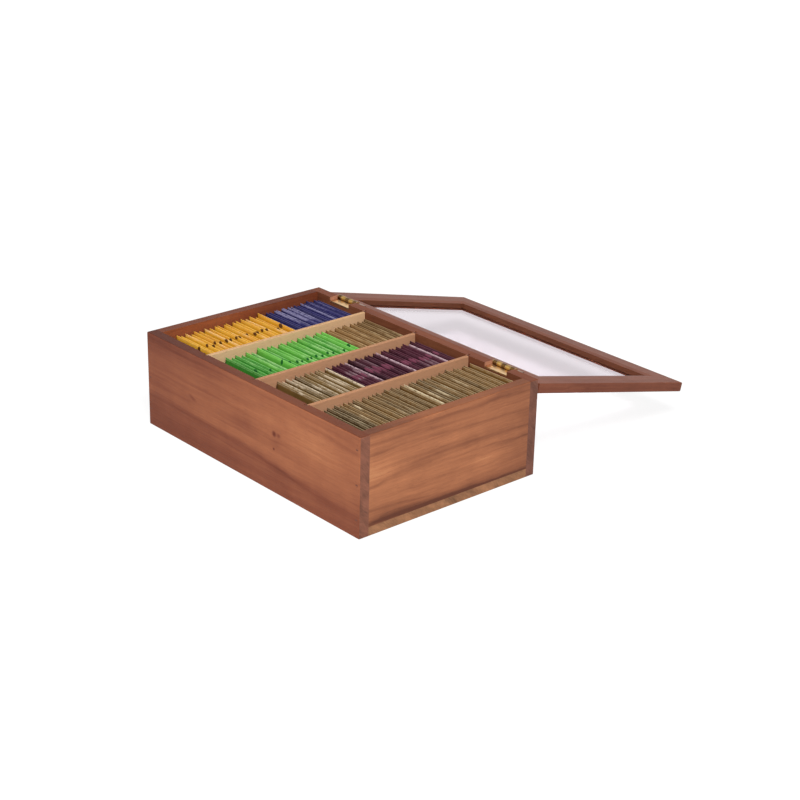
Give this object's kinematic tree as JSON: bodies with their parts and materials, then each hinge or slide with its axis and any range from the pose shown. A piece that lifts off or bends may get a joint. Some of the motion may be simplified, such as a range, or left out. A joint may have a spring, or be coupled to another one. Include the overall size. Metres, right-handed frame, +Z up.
{
  "type": "glazed-lid tea chest",
  "caption": "Low wooden tea chest with a hinged glazed lid, thin dividers and rows of standing paper tea sachets.",
  "frame": {"origin": "centre of the chest's base, on the surface that it rests on", "axes": "+X along the chest's length towards its right end, +Y from the front to the hinged back, +Z up"},
  "size_m": [0.3, 0.3947, 0.0902],
  "materials": {
    "stained_wood": "red-brown stain under a satin lacquer",
    "lid_wood": "darker red-brown stain under a satin lacquer",
    "pale_wood": "bare pale thin board",
    "brass": "polished brass",
    "brad_steel": "sunk brad under dark filler",
    "clear_pane": "clear flat pane",
    "yellow_paper": "coated paper",
    "blue_paper": "coated paper",
    "green_paper": "coated paper",
    "tan_paper": "coated paper",
    "khaki_paper": "coated paper",
    "plum_paper": "coated paper",
    "olive_paper": "coated paper"
  },
  "bodies": {
    "chest": {"front_board": "stained_wood", "back_board": "stained_wood", "left_end_board": "stained_wood", "right_end_board": "stained_wood", "bottom_panel": "stained_wood", "divider_1": "pale_wood", "divider_2": "pale_wood", "divider_3": "pale_wood", "front_brads": "brad_steel", "back_brads": "brad_steel", "box_leaf_left": "brass", "box_leaf_right": "brass", "box_screws": "brass", "hinge_pin_left": "brass", "hinge_pin_right": "brass", "sachets_yellow": "yellow_paper", "sachets_blue": "blue_paper", "sachets_green": "green_paper", "sachets_tan": "tan_paper", "sachets_khaki": "khaki_paper", "sachets_plum": "plum_paper", "sachets_olive": "olive_paper"},
    "lid": {"lid_rear_rail": "lid_wood", "lid_front_rail": "lid_wood", "lid_left_rail": "lid_wood", "lid_right_rail": "lid_wood", "lid_pane": "clear_pane", "lid_leaf_left": "brass", "lid_leaf_right": "brass", "lid_screws": "brass"}
  },
  "joints": [
    {"name": "lid_hinge", "type": "hinge", "parent": "chest", "child": "lid", "pos_m": [0, 0.1014, 0.0877], "axis": [1, 0, 0], "range_deg": [0, 193.92]}
  ]
}
